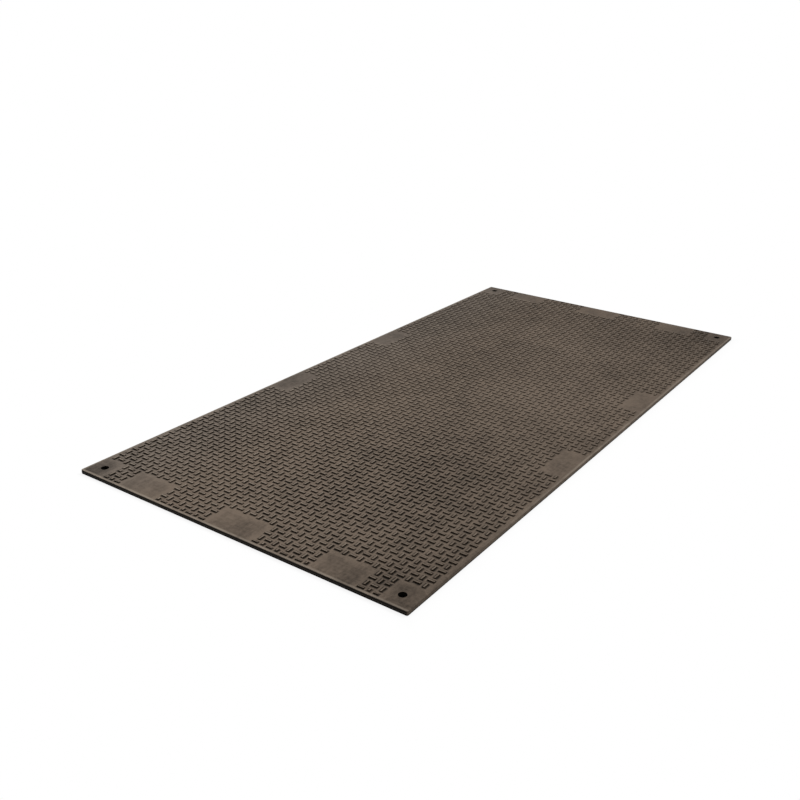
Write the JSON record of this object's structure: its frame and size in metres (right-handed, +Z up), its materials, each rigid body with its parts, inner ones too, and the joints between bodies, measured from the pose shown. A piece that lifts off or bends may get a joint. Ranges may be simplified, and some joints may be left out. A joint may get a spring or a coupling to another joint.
{
  "type": "ground protection mat",
  "caption": "Large flat plastic ground protection mat with a raised basketweave tread of short bars, plain pads round its edge and a hole in each corner.",
  "frame": {"origin": "middle of the flat underside, which lies on the ground", "axes": "+X along the mat's length, +Y across its width, +Z up, out of the tread face"},
  "size_m": [2.4638, 1.2192, 0.0175],
  "materials": {
    "moulded_plastic": "matt moulded polyethylene, grey-brown with dust, fine mould grain and light scuffs"
  },
  "bodies": {
    "root": {"mat": "moulded_plastic"}
  },
  "joints": []
}
